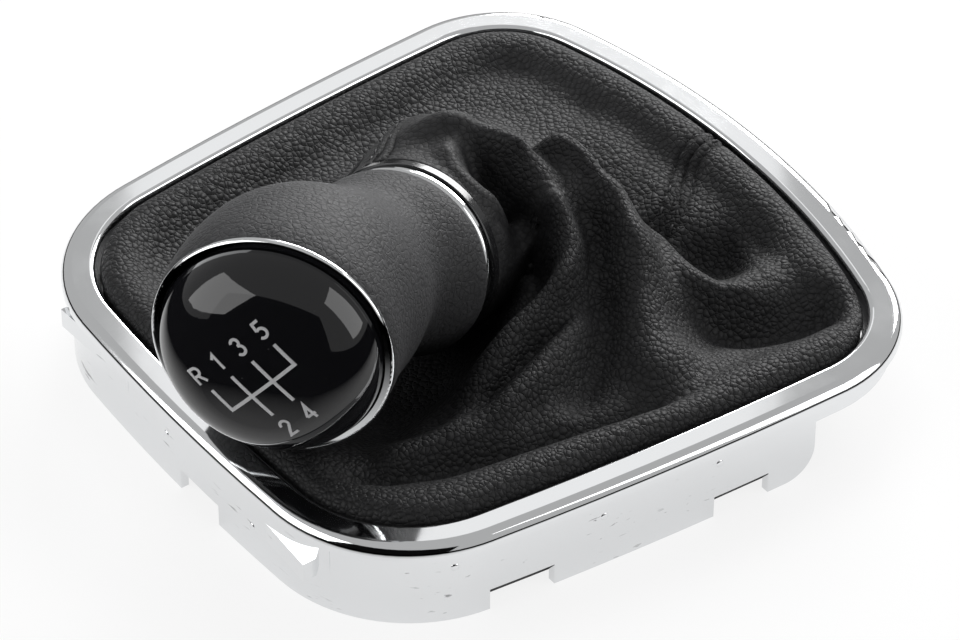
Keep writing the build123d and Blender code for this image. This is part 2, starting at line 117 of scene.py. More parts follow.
# Folds: points in plan with their height above the rim's edge, half-width and firmness
FOLDS = (
    (((30, -8, 16), (20, -25, 11), (5, -32, 7), (-15, -34, 4)), 14.0, 0.60),
    (((22, 8, 30), (30, -2, 25), (31, -14, 21), (27, -25, 17), (22, -37, 11), (19, -46, 7),
      (20, -56, 3)), 6.5, 0.95),
    (((-1, 17, 31), (6, 14, 33), (12, 9, 33), (17, 1, 32), (18, -5, 30), (17, -13, 27),
      (14, -21, 21), (5, -25, 13), (-10, -27, 7), (-28, -29, 3)), 4.2, 0.95),
    (((6, -31, 10), (-7, -36, 7), (-21, -38, 5), (-35, -37, 3), (-46, -33, 2)), 6.0, 0.80),
    (((6, 8, 25), (8, 4, 19), (9, -1, 12), (11, -5, 8), (11, -10, 6), (9, -15, 5), (3, -19, 3),
      (-7, -22, 0)), 4.5, 0.95),
    (((28, -2, 21), (27, -12, 15), (19, -27, 9), (8, -36, 4), (-6, -43, 1), (-24, -45, -1)),
     4.0, 0.80),
    (((31, 15, 8), (39, 5, 2), (41, -6, -1), (40, -14, -2)), 6.0, 0.85),
    (((46, -15, -6), (50, -22, -10), (57, -26, -8)), 7.0, 0.90),
    (((38, -17, 9), (37, -28, 7), (43, -38, 6), (57, -36, 5)), 4.2, 0.95),
    (((63, -54, -4), (50, -49, -8), (40, -44, -8), (31, -39, -3)), 5.5, 0.90),
)
# Finer folds of the dressed leather: the sleeve's lip and the valley between the two upper ridges
FINE_FOLDS = (
    (((4.9, 8.4, 33), (1.8, 3, 31.5), (1.6, -1.7, 30), (3.4, -5.1, 28), (6.4, -6.8, 24.5),
      (7, -8.7, 20)), 2.8, 0.85),
    (((24.5, 0, 24), (24.9, -7.7, 20), (24.5, -12.5, 15), (21.5, -20.1, 10), (15, -28.8, 6)),
     3.6, 0.85),
)
# Crests and creases of the dressed leather: points in plan, half-width, and the lift or press
CRESTS = (
    (((-58, -27), (-52.8, -35.2), (-39.8, -40.6), (-27.4, -45), (-15.3, -48.5), (-0.8, -52.6),
      (14.8, -56), (27.1, -58.5)), 2.8, -4.0),
    (((-57, -40), (-44.3, -47.8), (-32.9, -53), (-15.5, -56.5), (7.4, -60.5), (27, -63)), 4.5, 0.9),
    (((14.3, -21.4), (8.8, -23.8), (2, -25.5), (-6.7, -28), (-15.7, -30.5), (-26.4, -33)),
     2.6, 3.4),
    (((14, -25), (9, -27.5), (3, -29.2), (-3, -31), (-10, -33.2), (-18, -36), (-28, -38.5)),
     2.3, -3.4),
    (((13.5, -28), (9, -31), (2.4, -34.2), (-5.9, -37.5), (-14.8, -40), (-21.7, -42)), 2.8, 2.6),
    (((20.7, -23.6), (16, -31), (9, -37.5), (1, -43), (-8, -46)), 3.6, -3.8),
    (((24, -29), (22, -35.9), (19.5, -40.8), (19.6, -46.1), (20.5, -50)), 3.4, 2.4),
    (((28, -31), (27, -38), (28.5, -44), (33, -50)), 3.2, -1.6),
    (((21, 10), (28, 2), (31, -7), (30.5, -16), (28, -24), (25, -31)), 3.4, 2.6),
    (((34, 24), (41, 14), (45, 4), (45.5, -6), (43, -14), (38, -21)), 6.0, -4.5),
)
FOLD_STEPS = 10
FOLD_FADE = 0.15
CREST_FADE = 0.25
FOLD_END_SHARE = 0.3
FOLD_POWER = 1.8
FOLD_SLOPE_START = -0.1
FOLD_SLOPE_SPAN = 0.5

# Easing of the folded leather: all over, at sharp points, and round the spots where folds meet
EASE = 0.5
EASE_PASSES = 8
EASE_END_ROWS = 8
SHARP_FROM = 0.09
SHARP_PASSES = 60
SHARP_MOST = 0.7
SMOOTH_SPOTS = (((16.5, -4.5, 44.0), 7.5), ((12.5, -9.5, 30.0), 6.0))
SPOT_PASSES = 60
SPOT_GAIN = 2
SPOT_MOST = 0.9

# Seam of the leather: points in plan from the frame to the neck, and how it is found and pressed
SEAM = ((74, 4.5), (68.5, 3.7), (63.6, 2.6), (59.3, -0.5), (54, -5), (48, -8), (40, -4), (33, 5),
        (24, 15), (14, 24), (5, 26.5), (-3, 20), (-10.4, 13.7))
SEAM_POINT_STEPS = 40
SEAM_STEP = 0.4
SEAM_FACING = 0.1
SEAM_CATCH = 0.9
SEAM_CATCH_GAIN = 1.01
SEAM_PASSES = 40
SEAM_DEPTH = 0.9
SEAM_WIDTH = 0.65
SEAM_PUFF = 0.25
SEAM_PUFF_WIDTH = 0.9
SEAM_FOCUS = 9.0
SEAM_FOCUS_GAIN = 3.0

# Stitches on both sides of the seam, and a stitch's form: place along it, girth, and lift in mm
STITCH_REACH = 2.6
STITCH_DEPTH = 0.6
STITCH_PITCH = 3.2
STITCH_LENGTH = 2.3
STITCH_R = 0.28
STITCH_SIDES = 8
STITCH_FORM = (
    (-1.0, 0.35, -0.45), (-0.6, 0.9, -0.05), (0.0, 1.0, 0.0), (0.6, 0.9, -0.05), (1.0, 0.35, -0.45))

# Share of the knob's movement from which the leather is stretched and its grain is flatter
TAUT_FROM = 0.9

# Lumps of slack leather: height, lengths of the waves, how many are mixed, and rows where they fade
LUMP_SEED = 5
LUMP_HEIGHT = 0.2
LUMP_LENGTHS = (9.0, 26.0)
LUMP_WAVES = 30
LUMP_LEAD_ROWS = 6
LUMP_START_ROWS = 8
LUMP_END_ROWS = 12

# Marks of the mould on the skirt, all sunk a little into it
SKIRT_STEPS = 2000
MARK_SINK = 0.1

# Ejector marks: a point near each, from which its height is taken
PIPS = ((-68.0, 4.5, 11.4), (-67.4, -25.2, 8.3), (-45.2, -63.4, 14.1), (-12.3, -68.2, 12.9),
        (15.1, -70.4, 14.0))
PIP_R = 0.9
PIP_HEIGHT = 0.35
PIP_RINGS = 4
PIP_SIDES = 16

# Witness lines: a point near each, and the heights of its two ends
WITNESS_LINES = ((-63.4, -47.2, 17.0, 8.5), (-67.6, 19.3, 15.7, 11.5))
WITNESS_R = 0.3
WITNESS_HEIGHT = 0.26
WITNESS_SIDES = 7
WITNESS_STEPS = 9
WITNESS_TIP = 0.06

# Height below which the plating is scuffed from handling, and how fast the scuffs end there
SCUFFS_BELOW = 17.0
SCUFF_EDGE = 800.0
FRAME_SCUFFS = 1.0
RING_SCUFFS = 0.35

# Plastic pieces: node, finish, colour, roughness, fineness of the texture, and its depth in metres
PLASTICS = (
    ("gaiter_collar", "collar_black", (0.016, 0.016, 0.017), 0.16, 1500.0, 0.00002),
    ("knob_core", "core_black", (0.035, 0.035, 0.037), 0.45, 1500.0, 0.00005),
    ("gaiter_frame", "frame_black", (0.022, 0.022, 0.024), 0.5, 1200.0, 0.00008),
)
# Other finishes: how much lighter dust makes the cap, and the brushed steel's two tones
CAP_DUST = 0.05
STEEL_DARK = (0.42, 0.42, 0.43)
STEEL_BRIGHT = (0.60, 0.60, 0.61)

# Stage: lengths in metres, apart from the floor's, which are millimetres
SENSOR_WIDTH = 36.0
SIGHT = 20.0
FLOOR_HALF = 3000.0
FLOOR_Z = -0.2
FLOOR_WHITE = 0.85
FLOOR_GLOSS_LOSS = 0.3
SURROUND_LIGHT = 0.07
SURROUND_IN_GLOSS = 0.45
# Soft boxes: name, place, aim, size, power in watts, and whether the part's gloss shows them
LAMPS = (
    ("top_softbox", (0.25, 0.40, 0.95), (0.0, 0.0, 0.02), (0.60, 0.55), 4.0, False),
    ("back_softbox", (0.82, 0.48, 0.44), (0.0, 0.0, 0.03), (0.80, 0.36), 13.0, True),
    ("left_softbox", (-1.00, 0.30, 0.55), (-0.02, 0.0, 0.03), (1.15, 0.85), 8.0, True),
    ("right_softbox", (0.75, -0.85, 0.60), (0.0, 0.0, 0.03), (0.75, 0.95), 5.5, True),
)
# Cards that only the part's gloss shows: name, place, size and colour
CARDS = (
    ("white_card", (0.49, 0.68, 0.72), (0.29, 0.34), (1.0, 1.0, 1.0)),
    ("black_card", (-1.25, -0.95, 0.55), (2.8, 1.5), (0.004, 0.004, 0.004)),
)
CARD_AIM = (0.0, 0.0, 0.02)

# The leather's skin and seam, kept by the gaiter for its stitches
SEWING = {}

record = frame["record"]
lever_bore = next(m for m in record["mounts"] if m["name"] == "lever_bore")
STEM = -np.array(lever_bore["axis"], float)
STEM /= np.linalg.norm(STEM)
NECK = np.array(lever_bore["pos_m"], float) / MM + STEM * LEVER_SLEEVE
LEAN_AZIMUTH = math.atan2(STEM[1], STEM[0])
NECK_TOP = UP - STEM * STEM[2]
NECK_TOP /= np.linalg.norm(NECK_TOP)
NECK_SIDE = np.cross(STEM, NECK_TOP)


def colour_property(name, description, default):
    """A colour that a user may change."""
    return FloatVectorProperty(
        name=name, description=description, default=default, subtype="COLOR", min=0, max=1)


def length_property(name, description, default):
    """A length in metres that a user may change."""
    return FloatProperty(
        name=name, description=description, default=default, unit="LENGTH", precision=4)


def place_property(name, description, default):
    """A place in the row frame that a user may change."""
    return FloatVectorProperty(
        name=name, description=description, default=default, subtype="TRANSLATION")


def in_mm(length):
    """A user's length in millimetres, without the noise of single precision."""
    return round(length / MM, 4)


class GaiterProps(bpy.types.PropertyGroup):
    """Sizes and colours of the leather gaiter."""

    stations: IntProperty(
        name="Stations", description="Strips of leather round the frame", default=300, min=60)
    rows: IntProperty(
        name="Rows", description="Rows of points from the frame to the neck", default=158, min=40)
    roll_rise: length_property("Roll rise", "Height of the soft roll over the rim's edge", 0.0026)
    slack: length_property("Slack", "Sag of the leather between frame and neck", 0.0050)
    grain: length_property("Grain", "Width of a pebble of the grain", 0.0012)
    # The crease colour is painted shade between the pebbles, and the leather colour is that of their tops.
    leather: colour_property("Leather", "Colour of the pebbles", (0.018, 0.018, 0.019))
    crease: colour_property("Crease", "Colour between the pebbles", (0.006, 0.006, 0.0065))
    thread: colour_property("Thread", "Colour of the sewing thread", (0.010, 0.010, 0.011))


class KnobProps(bpy.types.PropertyGroup):
    """Grain and colours of the knob."""

    grip: colour_property("Grip", "Colour of the soft grip", (0.045, 0.045, 0.047))
    grip_grain: length_property("Grip grain", "Width of a pebble of the grip", 0.0011)
    cap: colour_property("Cap", "Colour of the gloss cap", (0.006, 0.006, 0.007))
    print_colour: colour_property("Print", "Colour of the shift pattern", (0.50, 0.50, 0.51))


class ChromeProps(bpy.types.PropertyGroup):
    """Looks of the plated pieces."""

    plate: colour_property("Plate", "Colour of the plating", (0.80, 0.81, 0.82))
    polish: FloatProperty(
        name="Polish", description="Roughness of the plating", default=0.06,
        subtype="FACTOR", min=0, max=1)


class StageProps(bpy.types.PropertyGroup):
    """Camera, floor and the floor's reflection."""

    camera_place: place_property("Camera", "Place of the camera", (-0.4218, -0.5879, 0.6386))
    camera_aim: place_property(
        "Aim", "Point in the middle of the picture", (-0.0020, -0.0125, 0.0200))
    lens: FloatProperty(
        name="Lens", description="Focal length of the camera", default=172.7, unit="CAMERA")
    floor: colour_property("Floor", "Colour of the floor", (0.90, 0.90, 0.90))
    glow_middle: place_property(
        "Glow middle", "Middle of the floor's bright patch", (0.03, 0.02, 0.0))
    glow_reach: length_property(
        "Glow reach", "Where the bright patch ends, as gloss shows it", 0.185)
    glow_fade: length_property("Glow fade", "Width over which the bright patch ends", 0.050)


class Wire:
    """An output socket of a shader tree, used as a number in expressions."""

    def __init__(self, tree, socket=None):
        self.tree = tree
        self.socket = socket

    def node(self, kind, settings=None, inputs=None, output=0):
        """A new node with its settings made first, then its sockets, as one of its outputs."""
        made = self.tree.nodes.new(kind)
        for name, value in (settings or {}).items():
            if name == "stops":
                ramp = made.color_ramp.elements
                while len(ramp) < len(value):
                    ramp.new(1)
                for stop, (place, grey) in zip(ramp, value):
                    stop.position = place
                    stop.color = (grey, grey, grey, 1)
            else:
                setattr(made, name, value)
        for name, value in (inputs or {}).items():
            if isinstance(value, Wire):
                self.tree.links.new(value.socket, made.inputs[name])
            else:
                made.inputs[name].default_value = value
        return Wire(self.tree, made.outputs[output] if made.outputs else None)

    def maths(self, operation, first, second=0.0, clamp=False):
        """A Math node on two values."""
        settings = {"operation": operation, "use_clamp": clamp}
        return self.node("ShaderNodeMath", settings, {0: first, 1: second})

    def __add__(self, other):
        return self.maths("ADD", self, other)

    def __radd__(self, other):
        return self.maths("ADD", other, self)

    def __sub__(self, other):
        return self.maths("SUBTRACT", self, other)

    def __rsub__(self, other):
        return self.maths("SUBTRACT", other, self)

    def __mul__(self, other):
        return self.maths("MULTIPLY", self, other)

    def __rmul__(self, other):
        return self.maths("MULTIPLY", other, self)

    def clamped(self):
        return self.maths("ADD", self, 0.0, clamp=True)

    def ramp(self, *stops):
        """A ramp through (place, grey) stops."""
        return self.node("ShaderNodeValToRGB", {"stops": stops}, {"Fac": self})

    def mix(self, low, high):
        """A colour between two, by this value."""
        return self.node("ShaderNodeMix", {"data_type": "RGBA"}, {0: self, 6: low, 7: high}, 2)

    def noise(self, place, scale, detail=3.0, roughness=0.5):
        return self.node("ShaderNodeTexNoise", None, {
            "Vector": place, "Scale": scale, "Detail": detail, "Roughness": roughness})

    def cells(self, place, scale, feature="F1", smooth=None):
        inputs = {"Vector": place, "Scale": scale}
        if smooth is not None:
            inputs["Smoothness"] = smooth
        return self.node("ShaderNodeTexVoronoi", {"feature": feature}, inputs)

    def stretched(self, place, scale):
        """A place with its own scale along each axis."""
        return self.node("ShaderNodeMapping", None, {"Vector": place, "Scale": scale})

    def shifted(self, place, amount, scale):
        """A place moved about a little by noise, so that a pattern loses its evenness."""
        swirl = self.node("ShaderNodeTexNoise", None, {
            "Vector": place, "Scale": scale, "Detail": 2.0}, "Color")
        centred = self.node(
            "ShaderNodeVectorMath", {"operation": "SUBTRACT"}, {0: swirl, 1: (0.5, 0.5, 0.5)})
        sized = self.node(
            "ShaderNodeVectorMath", {"operation": "SCALE"}, {0: centred, "Scale": amount})
        return self.node("ShaderNodeVectorMath", {"operation": "ADD"}, {0: place, 1: sized})

    def stored(self, name, output="Fac"):
        """A value that the mesh keeps at each point."""
        return self.node("ShaderNodeAttribute", {"attribute_name": name}, None, output)


def opaque(colour, gain=1.0):
    """A colour made lighter or darker, with full cover."""
    return (*(min(1.0, gain * c) for c in colour), 1.0)


def new_finish(name):
    """An empty material and its tree, as (material, wire)."""
    material = bpy.data.materials.new(name)
    material.use_nodes = True
    material.node_tree.nodes.clear()
    return material, Wire(material.node_tree)


def end_finish(wire, constants, colour, roughness, height=None, depth=0.0, strength=1.0):
    """The shader at the end of a finish: constants on its own sockets, and what varies linked."""
    inputs = {**constants, "Base Color": colour, "Roughness": roughness}
    if height is not None:
        inputs["Normal"] = wire.node("ShaderNodeBump", None, {
            "Strength": strength, "Distance": depth, "Height": height})
    shader = wire.node("ShaderNodeBsdfPrincipled", None, inputs)
    wire.node("ShaderNodeOutputMaterial", None, {"Surface": shader})


def place_of(wire):
    """Object coordinates, which are the row frame in metres."""
    return wire.node("ShaderNodeTexCoord", None, None, "Object")


def ray_kinds(wire):
    """1 where the camera sees a thing, and 1 where polish or glass shows it."""
    rays = wire.node("ShaderNodeLightPath").socket.node.outputs
    camera, gloss, through = (
        Wire(wire.tree, rays[name])
        for name in ("Is Camera Ray", "Is Glossy Ray", "Is Transmission Ray"))
    return camera, (gloss + through).clamped()


def leather_finish(props):
    """Black leather: soft pebbles with painted shade, lighter on their tops and darker in the creases, fine
    pores and a slightly polished top.
    """
    material, wire = new_finish("gaiter_leather")
    place = wire.stored("rest_place", "Vector")
    stirred = wire.shifted(place, props.grain * 0.6, 0.45 / props.grain)
    dome = 1.0 - wire.cells(stirred, 1 / props.grain, "SMOOTH_F1", smooth=0.2) * 1.25
    creases = wire.cells(stirred, 1 / props.grain, "DISTANCE_TO_EDGE")
    creases = creases.ramp((0.0, 0.0), (0.12, 0.75), (0.32, 1.0))
    pores = wire.noise(place, 2600.0, detail=2.0)
    drift = wire.noise(place, 45.0)
    sewn = wire.stored("sewn")
    taut = wire.stored("taut")
    height = (dome * 0.62 + creases * 0.30) * (1.0 - taut * 0.65) + pores * 0.08
    # Painted shade: the colour is lighter on the pebbles' tops and darker in the creases between them, where
    # shade falls.
    shade = (dome * 0.7 + creases * 0.3 + drift * 0.5 - 0.2).clamped()
    # Painted shade in the seam's grooves and stitch rows, which are also made rougher.
    shade = (shade * (1.0 - sewn)).clamped()
    colour = shade.mix(opaque(props.crease), opaque(props.leather))
    roughness = 0.66 - dome.clamped() * 0.12 + (drift - 0.5) * 0.16 + (pores - 0.5) * 0.08
    roughness = roughness + sewn * 0.2
    end_finish(wire, {"Specular IOR Level": 0.26}, colour, roughness,
               height, depth=0.00042, strength=0.9)
    return material


def grip_finish(props):
    """Soft grey grip, moulded with a fine leather grain, with painted shade that darkens the grain's lines.
    """
    material, wire = new_finish("grip_soft")
    place = place_of(wire)
    stirred = wire.shifted(place, props.grip_grain * 0.7, 0.5 / props.grip_grain)
    dome = 1.0 - wire.cells(stirred, 1 / props.grip_grain, "SMOOTH_F1", smooth=0.2) * 1.25
    lines = wire.cells(stirred, 0.8 / props.grip_grain, "DISTANCE_TO_EDGE")
    lines = lines.ramp((0.0, 0.0), (0.13, 0.8), (0.3, 1.0))
    pores = wire.noise(place, 3000.0, detail=2.0)
    drift = wire.noise(place, 60.0)
    height = dome * 0.45 + lines * 0.38 + pores * 0.20
    # Painted shade: the colour is darker in the grain's lines, down to half the grip's colour, with a random
    # drift of tone.
    colour = (lines * 0.6 + drift * 0.5).clamped().mix(opaque(props.grip, 0.5), opaque(props.grip))
    roughness = 0.66 - dome.clamped() * 0.10 + (drift - 0.5) * 0.14
    end_finish(wire, {"Specular IOR Level": 0.28}, colour, roughness,
               height, depth=0.00024, strength=0.9)
    return material


def chrome_finish(name, props, scuffs):
    """Bright plating with faint waves and wiping marks, and with small scuffs below the rim."""
    material, wire = new_finish(name)
    place = place_of(wire)
    smudge = wire.noise(place, 70.0, detail=4.0, roughness=0.6)
    wave = wire.noise(place, 38.0, detail=1.0)
    streaks = wire.noise(wire.stretched(place, (380.0, 120.0, 1300.0)), 1.0, detail=2.0)
    streaks = streaks.ramp((0.0, 0.0), (0.66, 0.0), (0.71, 1.0), (1.0, 1.0))
    patch = wire.noise(place, 60.0, detail=2.0)
    patch = patch.ramp((0.0, 0.0), (0.5, 0.0), (0.64, 1.0), (1.0, 1.0))
    level = wire.node("ShaderNodeSeparateXYZ", None, {"Vector": place}, "Z")
    below_rim = ((SCUFFS_BELOW * MM - level) * SCUFF_EDGE).clamped()
    worn = streaks * patch * below_rim * scuffs
    roughness = props.polish + smudge.ramp((0.0, 0.0), (0.45, 0.0), (0.8, 1.0)) * 0.07
    roughness = roughness + worn * 0.25
    colour = (worn * 0.9).clamped().mix(opaque(props.plate), opaque(props.plate, 0.35))
    height = wave * 0.9 + worn * -0.04
    end_finish(wire, {"Metallic": 1.0}, colour, roughness, height, depth=0.00012, strength=0.5)
    return material


def cap_finish(props):
    """Deep gloss black with faint wiping marks and specks of dust."""
    material, wire = new_finish("cap_gloss")
    place = place_of(wire)
    wipe = wire.noise(place, 120.0, detail=4.0, roughness=0.6)
    dust = wire.cells(place, 420.0).ramp((0.0, 1.0), (0.05, 1.0), (0.075, 0.0), (1.0, 0.0))
    sparse = wire.noise(place, 240.0, detail=1.0)
    sparse = sparse.ramp((0.0, 0.0), (0.62, 0.0), (0.70, 1.0), (1.0, 1.0))
    specks = dust * sparse
    dusty = opaque([c + CAP_DUST for c in props.cap])
    colour = (specks * 0.5).clamped().mix(opaque(props.cap), dusty)
    roughness = 0.035 + wipe.ramp((0.0, 0.0), (0.5, 0.0), (0.85, 1.0)) * 0.05 + specks * 0.3
    end_finish(wire, {"Specular IOR Level": 0.5}, colour, roughness)
    return material


def print_finish(props):
    """Flat light print with slightly uneven ink."""
    material, wire = new_finish("print_grey")
    ink = wire.noise(place_of(wire), 900.0, detail=2.0)
    colour = ink.mix(opaque(props.print_colour, 0.86), opaque(props.print_colour))
    roughness = 0.42 + ink * 0.12
    end_finish(wire, {"Specular IOR Level": 0.4}, colour, roughness)
    return material


def plastic_finish(name, colour, rough, texture, depth):
    """Moulded plastic with a fine spark-eroded texture."""
    material, wire = new_finish(name)
    place = place_of(wire)
    fine = wire.noise(place, texture)
    drift = wire.noise(place, 40.0, detail=2.0)
    mixed = (fine * 0.6 + drift * 0.4).clamped().mix(opaque(colour, 0.7), opaque(colour))
    roughness = rough + (drift - 0.5) * 0.15 + (fine - 0.5) * 0.10
    end_finish(wire, {"Specular IOR Level": 0.45}, mixed, roughness, fine, depth, strength=0.5)
    return material


def steel_finish():
    """Zinc-plated steel band, brushed along its length."""
    material, wire = new_finish("clamp_steel")
    grain = wire.noise(wire.stretched(place_of(wire), (3000.0, 300.0, 300.0)), 1.0)
    colour = grain.mix(opaque(STEEL_DARK), opaque(STEEL_BRIGHT))
    roughness = 0.28 + grain * 0.2
    end_finish(wire, {"Metallic": 1.0}, colour, roughness, grain, depth=0.00005, strength=0.4)
    return material


def thread_finish(props):
    """Twisted sewing thread."""
    material, wire = new_finish("thread")
    twist = wire.noise(wire.stored("rest_place", "Vector"), 2600.0, detail=2.0)
    colour = twist.mix(opaque(props.thread), opaque(props.thread, 1.5))
    roughness = 0.5 + twist * 0.2
    end_finish(wire, {"Specular IOR Level": 0.4}, colour, roughness,
               twist, depth=0.0001, strength=0.6)
    return material


def give_finish(node, material):
    """Gives a CAD node its finish."""
    slots = frame["nodes"][node].data.materials
    if len(slots) == 0:
        slots.append(material)
    for i in range(len(slots)):
        slots[i] = material


def new_piece(name, points, faces, material, smooth=True):
    """A mesh object from points in millimetres."""
    mesh = bpy.data.meshes.new(name)
    mesh.from_pydata((np.asarray(points, float) * MM).tolist(), [], faces)
    mesh.materials.append(material)
    if smooth:
        mesh.polygons.foreach_set("use_smooth", [True] * len(mesh.polygons))
    mesh.update()
    piece = bpy.data.objects.new(name, mesh)
    bpy.context.scene.collection.objects.link(piece)
    return piece


def flat_piece(name, half_x, half_y, z, material):
    """A rectangle that faces up."""
    signs = ((-1, -1), (1, -1), (1, 1), (-1, 1))
    points = [(half_x * x, half_y * y, z) for x, y in signs]
    return new_piece(name, points, [(0, 1, 2, 3)], material, smooth=False)


def ring_points(middle, across, up, radius, sides):
    """Points of a circle."""
    angles = [2 * math.pi * i / sides for i in range(sides)]
    return [middle + (across * math.cos(a) + up * math.sin(a)) * radius for a in angles]


def band_faces(rows, sides, base=0):
    """Quads of a closed band of rows, whose points are numbered from a base."""
    faces = []
    for j in range(rows - 1):
        for i in range(sides):
            a, b = base + j * sides + i, base + j * sides + (i + 1) % sides
            faces.append((a, b, b + sides, a + sides))
    return faces


def run_lengths(points):
    """How far along a line each of its points is."""
    return np.r_[0, np.cumsum(np.linalg.norm(np.diff(points, axis=0), axis=1))]


def side_arc(start, end, bow):
    """Centre and radius of a bowed side, with the frame's middle on its hollow side."""
    start, end = np.array(start), np.array(end)
    chord = end - start
    length = np.linalg.norm(chord)
    radius = (length**2 / 4 + bow**2) / (2 * bow)
    inward = np.array([-chord[1], chord[0]]) / length
    return (start + end) / 2 + inward * (radius - bow), radius


def corner_centre(first, second, radius, corner):
    """Centre of the round that joins two bowed sides."""
    (a, a_radius), (b, b_radius) = first, second
    a_reach, b_reach = a_radius - radius, b_radius - radius
    across = b - a
    gap = np.linalg.norm(across)
    along = (a_reach**2 - b_reach**2 + gap**2) / (2 * gap)
    off = math.sqrt(max(a_reach**2 - along**2, 0))
    foot = a + across / gap * along
    normal = np.array([-across[1], across[0]]) / gap
    both = (foot + normal * off, foot - normal * off)
    return min(both, key=lambda p: np.linalg.norm(p - np.array(corner)))


def arc_points(centre, radius, start, end):
    """Points on an arc, turning the short way from start to end."""
    first = math.atan2(start[1] - centre[1], start[0] - centre[0])
    turn = math.atan2(end[1] - centre[1], end[0] - centre[0]) - first
    turn = (turn + math.pi) % (2 * math.pi) - math.pi
    angles = first + turn * np.linspace(0, 1, ARC_STEPS, endpoint=False)
    return np.c_[centre[0] + radius * np.cos(angles), centre[1] + radius * np.sin(angles)]


def frame_outline(count, focus=None):
    """Points on the frame's outline, closer together near a focus, and the way inwards at each."""
    half = FRAME_LENGTH / 2
    corners = ((-half, -NARROW_HALF_WIDTH), (half, -WIDE_HALF_WIDTH),
               (half, WIDE_HALF_WIDTH), (-half, NARROW_HALF_WIDTH))
    bows = (SIDE_BOW, WIDE_BOW, SIDE_BOW, NARROW_BOW)
    rounds = (NARROW_CORNER_R, WIDE_CORNER_R, WIDE_CORNER_R, NARROW_CORNER_R)
    sides = [side_arc(corners[i], corners[(i + 1) % 4], bows[i]) for i in range(4)]
    centres = [corner_centre(sides[i - 1], sides[i], rounds[i], corners[i]) for i in range(4)]

    def touch(side, corner):
        centre, radius = sides[side]
        away = centres[corner] - centre
        return centre + away / np.linalg.norm(away) * radius

    arcs = []
    for i in range(4):
        j = (i + 1) % 4
        arcs.append(arc_points(*sides[i], touch(i, i), touch(i, j)))
        arcs.append(arc_points(centres[j], rounds[j], touch(i, j), touch(j, j)))
    closed = np.concatenate([*arcs, arcs[0][:1]])
    reach = run_lengths(closed)
    fill = reach.copy()
    if focus is not None:
        gap = np.linalg.norm(closed - np.array(focus), axis=1)
        crowd = 1 + SEAM_FOCUS_GAIN * np.exp(-((gap / SEAM_FOCUS) ** 2))
        fill = np.r_[0, np.cumsum(np.diff(reach) * (crowd[1:] + crowd[:-1]) / 2)]
    at = np.interp(np.linspace(0, fill[-1], count, endpoint=False), fill, reach)
    spread = np.c_[np.interp(at, reach, closed[:, 0]), np.interp(at, reach, closed[:, 1])]
    tangent = np.roll(spread, -1, 0) - np.roll(spread, 1, 0)
    tangent /= np.linalg.norm(tangent, axis=1)[:, None]
    return spread, np.c_[-tangent[:, 1], tangent[:, 0]]


def spline(knots, values, at):
    """A natural cubic spline through values at knots, along the first axis."""
    knots = np.asarray(knots, float)
    values = np.asarray(values, float)
    count = len(knots)
    gaps = np.diff(knots)
    shape = (-1,) + (1,) * (values.ndim - 1)
    slopes = np.diff(values, axis=0) / gaps.reshape(shape)
    system = np.zeros((count, count))
    system[0, 0] = system[-1, -1] = 1
    right = np.zeros_like(values)
    for i in range(1, count - 1):
        system[i, i - 1:i + 2] = gaps[i - 1], 2 * (gaps[i - 1] + gaps[i]), gaps[i]
        right[i] = 6 * (slopes[i] - slopes[i - 1])
    bend = np.linalg.solve(system, right.reshape(count, -1)).reshape(values.shape)
    i = np.clip(np.searchsorted(knots, at, side="right") - 1, 0, count - 2)
    step = gaps[i].reshape(shape)
    b = ((at - knots[i]) / gaps[i]).reshape(shape)
    a = 1 - b
    curve = ((a**3 - a) * bend[i] + (b**3 - b) * bend[i + 1]) * step**2 / 6
    return a * values[i] + b * values[i + 1] + curve


def smooth_line(points, steps):
    """A smooth line through points, with some steps for each of them."""
    knots = np.arange(len(points))
    return spline(knots, points, np.linspace(0, knots[-1], steps * len(points)))


def leather_rows(edge, inward, props):
    """The strips of leather before the folds: for each station, points from the hem to the neck."""
    count = len(edge)
    turn = np.arctan2(edge[:, 1] - NECK[1], edge[:, 0] - NECK[0]) - LEAN_AZIMUTH
    height = -np.cos(turn)[:, None]
    radial = NECK_TOP * height - NECK_SIDE * np.sin(turn)[:, None]
    neck_end = NECK + radial * (COLLAR_R - LEATHER / 2) - STEM * NECK_BUTT
    dip = np.cos(turn + LEAN_AZIMUTH - math.radians(SLEEVE_DIP_AZIMUTH))[:, None]
    sleeve = (SLEEVE_TOP + SLEEVE_BOTTOM) / 2 + (SLEEVE_TOP - SLEEVE_BOTTOM) / 2 * height
    sleeve = sleeve - SLEEVE_DIP * np.maximum(dip, 0) ** SLEEVE_DIP_POWER
    sleeve_end = neck_end - STEM * sleeve + radial * SLEEVE_FLARE

    def at(inset, z):
        return np.c_[edge + inward * inset, np.full(count, z)]

    crest = RIM_EDGE_Z + in_mm(props.roll_rise)
    foot = at(ROLL_INSET + ROLL_WIDTH, RIM_EDGE_Z - ROLL_FOOT_DROP)
    rows = [
        at(HEM_INSET, RIM_UNDERSIDE_Z - HEM_DEPTH),
        at(HEM_INSET, RIM_UNDERSIDE_Z - HEM_DEPTH / 2),
        at(HEM_INSET, RIM_UNDERSIDE_Z),
        at(HEM_INSET, RIM_EDGE_Z + LIP_RISE),
        at(ROLL_INSET, crest),
        at(ROLL_INSET + ROLL_WIDTH / 2, crest - ROLL_SHOULDER_DROP),
        foot,
    ]
    slack = in_mm(props.slack) * (1 + TOP_SLACK_GAIN * np.maximum(height, 0))
    for share in np.linspace(0, 1, MIDDLE_ROWS + 2)[1:-1]:
        rows.append(foot + (sleeve_end - foot) * share - UP * slack * math.sin(math.pi * share))
    rows += [sleeve_end, neck_end - STEM * (sleeve / 2) + radial * SLEEVE_MID_FLARE, neck_end]
    return np.array(rows)


